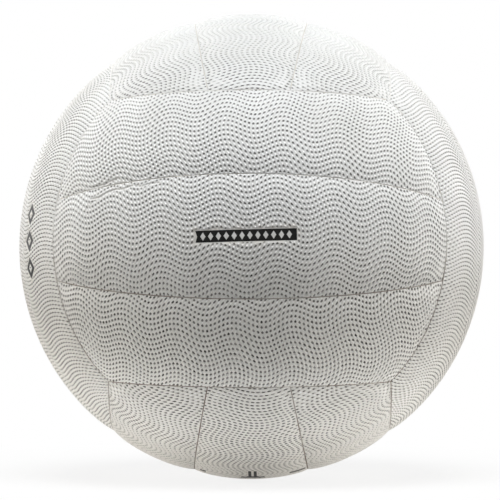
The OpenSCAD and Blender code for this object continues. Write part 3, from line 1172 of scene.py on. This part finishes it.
def ink_layer(name, face, strip, outlines, holes, proud):
    """A closed layer of ink on a panel, with its outer side a little proud of the bed."""
    all_points, all_faces, first = [], [], 0
    for k, outline in enumerate(outlines):
        hole = holes[k:k + 1]
        rounds = [dense(o) for o in (outline, *hole)]
        steps = [np.arange(low, high, INK_STEP) for low, high in zip(rounds[0].min(0), rounds[0].max(0))]
        inside = np.stack(np.meshgrid(*steps), -1).reshape(-1, 2)
        inside = inside[off_mark(*inside.T, [outline], hole) < -INK_STEP / 2]
        triangles = fill_flat(rounds, inside)
        spots = np.concatenate([*rounds, inside])
        rays = ray_at(*spots.T, strip)
        blank = np.zeros(len(spots))
        top = cover_height(rays, blank, blank, face, strip)[0] + proud
        count = len(spots)
        all_points += [rays * top[:, None], rays * (top - INK_THICK)[:, None]]
        all_faces += (triangles + first).tolist() + (triangles[:, ::-1] + first + count).tolist()
        start = first
        for r in rounds:
            here = start + np.arange(len(r))
            following = np.roll(here, -1)
            area = np.cross(r, np.roll(r, -1, 0)).sum()
            if (area > 0) == (r is rounds[0]):
                here, following = following, here
            all_faces += np.stack([here, following, following + count, here + count], 1).tolist()
            start += len(r)
        first += 2 * count
    mesh = bpy.data.meshes.new(name)
    mesh.from_pydata(np.concatenate(all_points) @ face_turn(face).T * MM, [], all_faces)
    mesh.update()
    return mesh


black_ink = mottled("black_stamped_ink", *BLACK_INK, **INK_LOOK, shine=BLACK_INK_SHINE)[0]
pale_ink = mottled("pale_stamped_ink", *PALE_INK, **INK_LOOK)[0]
for name, (face, strip, outlines, holes) in MARKS.items():
    new_piece(name, ink_layer(name, face, strip, outlines, holes, INK_PROUD), finish=black_ink, slot="ink")
pale = ink_layer("front_bar_lozenges", "front", MIDDLE, bar_lozenges(), [], PALE_PROUD)
new_piece("front_bar_lozenges", pale, finish=pale_ink, slot="ink")
print("black marks:", len(MARKS), "and", len(pale.polygons), "faces in the pale layer")

# %% [markdown]
# ## Thread in the seams
# The panels are sewn from the inside, and what shows is a thin two-ply thread deep in each groove.
# Its two strands wind round each other, and the thread dips at every stitch, where it goes through the
# vinyl. Each strand is a tube swept along the seam's circle. A curve with a bevel would also do,
# but computing the tube lets both strands follow the same dips.

# %% Twist the thread
THREAD_R = 103.55
STRAND_R, TWIST_R, TWIST_LENGTH = 0.07, 0.06, 1.2
STITCH, STITCH_DIP = 4.2, 0.18
THREAD_STEP, THREAD_SIDES = 0.24, 5
THREAD_END = 2.0
THREAD_TONES, BROWN_THREAD = ((0.66, 0.60, 0.50), (0.76, 0.71, 0.62)), (0.12, 0.075, 0.045, 1)
THREAD_LOOK = {"patches": 700, "grain": 9000, "grain_depth": 0.00003, "gloss": (0.6, 0.8)}


def half_turn(lean, place):
    """The turn from the middle of a cross seam to the corner where it ends."""
    axis, angle = seam_circle(lean, place, True)
    other, other_angle = seam_circle(*END_SEAMS[1], False)
    c1, c2, n12 = math.cos(angle), math.cos(other_angle), float(axis @ other)
    foot = ((c1 - c2 * n12) * axis + (c2 - c1 * n12) * other) / (1 - n12 ** 2)
    up = np.cross(axis, other)
    up *= math.copysign(1, up[2]) / np.linalg.norm(up)
    corner = foot + up * math.sqrt(1 - foot @ foot)
    return math.atan2(corner[0], corner @ seam_front(lean))


def strand(lean, place, start):
    """One ply of a seam's thread, as points and faces."""
    axis, angle = seam_circle(lean, place, True)
    across = BALL_R * math.sin(angle)
    reach = half_turn(lean, place) - THREAD_END / across
    count = int(2 * reach * across / THREAD_STEP)
    turn = np.linspace(-reach, reach, count)[:, None]
    run = turn * across
    round_seam = np.cos(turn) * seam_front(lean) + np.sin(turn) * np.array((1, 0, 0))
    rays = math.cos(angle) * axis + math.sin(angle) * round_seam
    side = np.cross(rays, np.gradient(rays, axis=0))
    side /= np.linalg.norm(side, axis=1)[:, None]
    twist = 2 * np.pi * run / TWIST_LENGTH + start
    dip = STITCH_DIP * (1 - np.cos(2 * np.pi * run / STITCH)) / 2
    centre = rays * (THREAD_R - dip + TWIST_R * np.cos(twist)) + side * TWIST_R * np.sin(twist)
    rounds = (np.arange(THREAD_SIDES) * 2 * np.pi / THREAD_SIDES)[None, :, None]
    rings = centre[:, None] + STRAND_R * (np.cos(rounds) * rays[:, None] + np.sin(rounds) * side[:, None])
    at = np.arange(count * THREAD_SIDES).reshape(count, THREAD_SIDES)
    beside = np.roll(at, -1, 1)
    faces = np.stack([at[:-1], at[1:], beside[1:], beside[:-1]], -1).reshape(-1, 4).tolist()
    return rings.reshape(-1, 3), faces + [at[0].tolist(), at[-1][::-1].tolist()]


def face_thread(face):
    """The thread in the four cross seams of a face, two strands in each."""
    points, faces, first = [], [], 0
    for lean, place in CROSS_SEAMS:
        for start in (0, np.pi):
            tube, tube_faces = strand(lean, place, start)
            points.append(tube)
            faces += [[first + i for i in f] for f in tube_faces]
            first += len(tube)
    mesh = bpy.data.meshes.new(f"{face}_thread")
    mesh.from_pydata(np.concatenate(points) @ face_turn(face).T * MM, [], faces)
    mesh.shade_smooth()
    return mesh


def thread_finish():
    """Waxed thread that is brown where the seams are."""
    finish, spots, colour = mottled("waxed_sewing_thread", *THREAD_TONES, **THREAD_LOOK)
    tree = finish.node_tree
    return recolour(finish, blend_colour(tree, seam_stain(tree, spots), colour, BROWN_THREAD))


twine = thread_finish()
thread_faces = 0
for face in FACES:
    plain = f"{face}_seam_thread"
    piece = new_piece(f"{face}_thread", face_thread(face), plain, finish=twine, slot="thread")
    thread_faces += len(piece.data.polygons)
print("threads:", len(FACES), "with", thread_faces, "faces")

# %% [markdown]
# ## The valve
# On the back a small rubber mouth sits just under the surface, with a paler plug that takes the needle.
# Both are round about one axis, so each is drawn as half of its cross-section and spun like clay on a
# wheel. The drawing rounds every edge that a finger could feel, and follows the plain solid in all main
# sizes.

# %% Spin the valve
# Half cross-sections of the mouth and the plug, as (radius, distance from the ball's centre) in mm
HOUSING_PROFILE = (
    (2.3, 90.6), (4.0, 90.6), (4.0, 97.72), (7.0, 97.55), (9.7, 97.32), (10.0, 97.7), (10.0, 98.6),
    (9.8, 98.92), (7.0, 99.15), (4.3, 99.31), (4.0, 99.5), (4.0, 104.15), (3.94, 104.4), (3.78, 104.54),
    (3.55, 104.6), (2.85, 104.6), (2.62, 104.5), (2.45, 104.3), (2.35, 103.9), (2.3, 103.2), (2.3, 97.6),
    (2.6, 97.48), (2.84, 97.2), (2.9, 96.9), (2.84, 96.6), (2.6, 96.32), (2.3, 96.2),
)
CORE_PROFILE = (
    (0, 90.6), (1.95, 90.6), (2.2, 90.85), (2.2, 96.36), (2.5, 96.4), (2.72, 96.6), (2.8, 96.9),
    (2.72, 97.2), (2.5, 97.4), (2.2, 97.44), (2.2, 104.2), (2.12, 104.4), (1.92, 104.5), (1.7, 104.46),
    (1.42, 104.3), (1.2, 104.0), (1.1, 103.6), (1.1, 94.6), (0, 94.6),
)
SPIN_STEPS = 72
SPUN_CRISP = math.radians(50)
MOUTH_TONES = ((0.018, 0.018, 0.018), (0.04, 0.039, 0.037))
PLUG_TONES = ((0.50, 0.47, 0.41), (0.62, 0.59, 0.53))
VALVE_GRAIN = {"grain": 4500, "grain_depth": 0.00004}


def spun(name, profile, closed):
    """A profile of (radius, height) points turned about the Y axis."""
    turns = np.arange(SPIN_STEPS) * 2 * np.pi / SPIN_STEPS
    bm = bmesh.new()
    rings = []
    for r, y in profile:
        spots = [(r * math.cos(t), y, r * math.sin(t)) for t in (turns if r > 0 else [0.0])]
        rings.append([bm.verts.new([c * MM for c in s]) for s in spots])
    pairs = list(zip(rings, rings[1:])) + ([(rings[-1], rings[0])] if closed else [])
    for a, b in pairs:
        for k in range(SPIN_STEPS):
            j = (k + 1) % SPIN_STEPS
            corners = [a[k % len(a)], a[j % len(a)], b[j % len(b)], b[k % len(b)]]
            bm.faces.new(list(dict.fromkeys(corners)))
    bmesh.ops.recalc_face_normals(bm, faces=bm.faces)
    mesh = bpy.data.meshes.new(name)
    bm.to_mesh(mesh)
    bm.free()
    mesh.shade_smooth()
    mesh.set_sharp_from_angle(angle=SPUN_CRISP)
    return mesh


black_rubber = mottled("black_valve_rubber", *MOUTH_TONES, patches=400, gloss=(0.5, 0.7), **VALVE_GRAIN)[0]
pale_rubber = mottled("pale_core_rubber", *PLUG_TONES, patches=500, gloss=(0.5, 0.65), **VALVE_GRAIN)[0]
mouth = spun("valve_mouth", HOUSING_PROFILE, True)
new_piece("valve_mouth", mouth, "valve_housing", finish=black_rubber, slot="valve_rubber")
plug = spun("valve_plug", CORE_PROFILE, False)
new_piece("valve_plug", plug, "valve_core", finish=pale_rubber, slot="core_rubber")
print("valve: mouth at", max(y for _, y in HOUSING_PROFILE), "mm from the centre")

# %% [markdown]
# ## What stays as it is
# The bladder, its patch and the foam and cloth under each panel are the right shape already and stay
# as solids. They still get finishes of their own: grey rubber, and a plain weave made of two wave
# textures at right angles.

# %% Finish the hidden solids
CLOTH_TONES, WEAVE_TONE = ((0.62, 0.56, 0.45), (0.72, 0.67, 0.56)), (0.40, 0.35, 0.27, 1)
WEAVE_PER_METRE, WEAVE_WOBBLE, WEAVE_SHARE = 420.0, 0.6, 0.4
BLADDER_TONES = ((0.045, 0.045, 0.047), (0.085, 0.083, 0.08))
CLOTH_LOOK = {"patches": 90, "grain": 6000, "grain_depth": 0.00003, "gloss": (0.85, 0.95)}
BLADDER_LOOK = {"patches": 60, "grain": 3500, "grain_depth": 0.00004, "gloss": (0.5, 0.7)}


def cloth_finish():
    """Cotton with a darker spot wherever two threads cross."""
    finish, spots, colour = mottled("cotton_backing_cloth", *CLOTH_TONES, **CLOTH_LOOK)
    tree = finish.node_tree
    threads = []
    for direction in ("X", "Z"):
        wave = node(tree, "ShaderNodeTexWave", bands_direction=direction)
        wave.inputs["Scale"].default_value = WEAVE_PER_METRE
        wave.inputs["Distortion"].default_value = WEAVE_WOBBLE
        tree.links.new(spots, wave.inputs["Vector"])
        threads.append(wave.outputs["Fac"])
    crossing = spread(tree, joined(tree, "MULTIPLY", *threads), 0, 1, 0, WEAVE_SHARE)
    return recolour(finish, blend_colour(tree, crossing, colour, WEAVE_TONE))


cloth = cloth_finish()
bladder_rubber = mottled("grey_bladder_rubber", *BLADDER_TONES, **BLADDER_LOOK)[0]
hidden = {name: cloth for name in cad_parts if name.endswith("_backing")}
hidden.update({name: bladder_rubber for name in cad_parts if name.startswith("bladder")})
for name, finish in hidden.items():
    solid_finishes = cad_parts[name].data.materials
    solid_finishes.clear()
    solid_finishes.append(finish)
print("solids that keep their shape:", len(hidden))

# %% [markdown]
# ## A floor
# The ball is shown on white. The floor is a plain sheet, far wider than the picture, that lies just
# under the ball and catches its soft shadow. It belongs to the studio and not to the ball.

# %% Floor
FLOOR_SIZE = 8.0
FLOOR_SQUARES = 8

bm = bmesh.new()
bmesh.ops.create_grid(bm, x_segments=FLOOR_SQUARES, y_segments=FLOOR_SQUARES, size=FLOOR_SIZE / 2)
floor_mesh = bpy.data.meshes.new("studio_floor")
bm.to_mesh(floor_mesh)
bm.free()
floor = bpy.data.objects.new("studio_floor", floor_mesh)
bpy.context.scene.collection.objects.link(floor)
floor.location = (0, 0, -BALL_R * MM)
print("floor:", FLOOR_SIZE, "m wide and", round(-floor.location.z, 3), "m below the ball's centre")

# %% [markdown]
# ## Two tricks in the floor's finish
# To the camera the sheet is pale paper near the ball, where the shadow falls, and turns into the pure
# white of the background further out. Light Path tells the camera's rays from the others.
# To every other ray the sheet is pale near the ball and nearly black far away, so light bounces up to
# the ball from close by only. A sheet that was pale all over would light the ball's whole lower half.

# %% White paper
FLOOR_TONE = (0.86, 0.86, 0.86, 1)
BOUNCE_NEAR, BOUNCE_FAR = (0.86, 0.86, 0.86, 1), (0.06, 0.06, 0.06, 1)
# Distances from the ball's centre in metres: where the bounce ends, and where the shadow gives way to white
SHEET_EDGE = (0.16, 0.30)
SHADOW_REACH = (0.02, 0.30)
GLOW_NEAR = 0.75

floor_finish = bpy.data.materials.new("studio_floor")
floor_finish.use_nodes = True
tree = floor_finish.node_tree
tree.nodes.clear()
camera_ray = node(tree, "ShaderNodeLightPath").outputs["Is Camera Ray"]
off_centre = node(tree, "ShaderNodeVectorMath", operation="LENGTH")
tree.links.new(node(tree, "ShaderNodeNewGeometry").outputs["Position"], off_centre.inputs[0])
near = spread(tree, off_centre.outputs["Value"], *SHEET_EDGE, 1, 0)
bounce = blend_colour(tree, near, BOUNCE_FAR, BOUNCE_NEAR)
paper = node(tree, "ShaderNodeBsdfDiffuse")
tree.links.new(blend_colour(tree, camera_ray, bounce, FLOOR_TONE), paper.inputs["Color"])
glow = node(tree, "ShaderNodeEmission")
glow.inputs["Color"].default_value = WHITE
far = spread(tree, off_centre.outputs["Value"], *SHADOW_REACH, GLOW_NEAR, 1)
mixed = node(tree, "ShaderNodeMixShader")
tree.links.new(joined(tree, "MULTIPLY", far, camera_ray), mixed.inputs["Fac"])
tree.links.new(paper.outputs[0], mixed.inputs[1])
tree.links.new(glow.outputs[0], mixed.inputs[2])
tree.links.new(mixed.outputs[0], node(tree, "ShaderNodeOutputMaterial").inputs["Surface"])
floor_mesh.materials.append(floor_finish)
print("finish:", floor_finish.name, len(tree.nodes), "nodes")

# %% [markdown]
# ## A world that only shows white
# The world is white where the camera, a reflection or a clear material looks at it, and nearly dark as a
# source of light. So the background is pure white and the ball still has shade on its under side.

# %% World
AMBIENT = 0.04

world = bpy.data.worlds.new("studio_white")
bpy.context.scene.world = world
world.use_nodes = True
tree = world.node_tree
tree.nodes.clear()
path = node(tree, "ShaderNodeLightPath")
shown = path.outputs["Is Camera Ray"]
for ray in ("Is Glossy Ray", "Is Transmission Ray"):
    shown = joined(tree, "MAXIMUM", shown, path.outputs[ray])
air = node(tree, "ShaderNodeBackground")
air.inputs["Color"].default_value = WHITE
tree.links.new(spread(tree, shown, 0, 1, AMBIENT, 1), air.inputs["Strength"])
tree.links.new(air.outputs[0], node(tree, "ShaderNodeOutputWorld").inputs["Surface"])
print("world: white to the camera, and", AMBIENT, "of that as light")

# %% [markdown]
# ## The lamps
# The light is that of a small studio, and seven square lamps stand for it. The large one overhead does
# most of the work and a smaller one in front of it adds a little warm light. One at each side picks out
# the edges, two behind stand for pale walls, and a very faint one lies on the table and stands for its
# sheen. All of them face the ball. Little light comes from the camera's side, which is why the middle
# of the ball is the darkest part.

# %% Lamps
# name, place in metres, width in metres, power in watts, colour
LAMPS = (
    ("softbox_overhead", (0.0, -0.6, 1.38), 0.8, 23.7, (0.97, 1.0, 1.03)),
    ("softbox_front", (0.0, -0.9, 1.2), 0.7, 2.0, (1.2, 1.02, 0.78)),
    ("lamp_left", (-1.5, 0.1, 0.0), 0.2, 10.4, (1.05, 1.0, 0.92)),
    ("lamp_right", (1.5, 0.1, 0.0), 0.2, 11.8, (1.03, 1.0, 0.95)),
    ("wall_back_left", (-1.3, 0.9, 0.4), 0.9, 5.0, (1.0, 1.0, 1.0)),
    ("wall_back_right", (1.3, 0.9, 0.4), 0.9, 5.0, (1.0, 1.0, 1.0)),
    ("table_glow", (0.0, 0.0, -0.1045), 0.2, 0.03, (1.0, 1.0, 1.0)),
)
for name, place, width, power, colour in LAMPS:
    data = bpy.data.lights.new(name, "AREA")
    data.shape = "SQUARE"
    data.size = width
    data.energy = power
    data.color = colour
    lamp = bpy.data.objects.new(name, data)
    bpy.context.scene.collection.objects.link(lamp)
    lamp.location = place
    lamp.rotation_mode = "QUATERNION"
    lamp.rotation_quaternion = (-Vector(place)).to_track_quat("-Z", "Y")
    lamp.visible_camera = False

bpy.context.scene.view_settings.view_transform = "Standard"
print("lamps:", len(LAMPS))
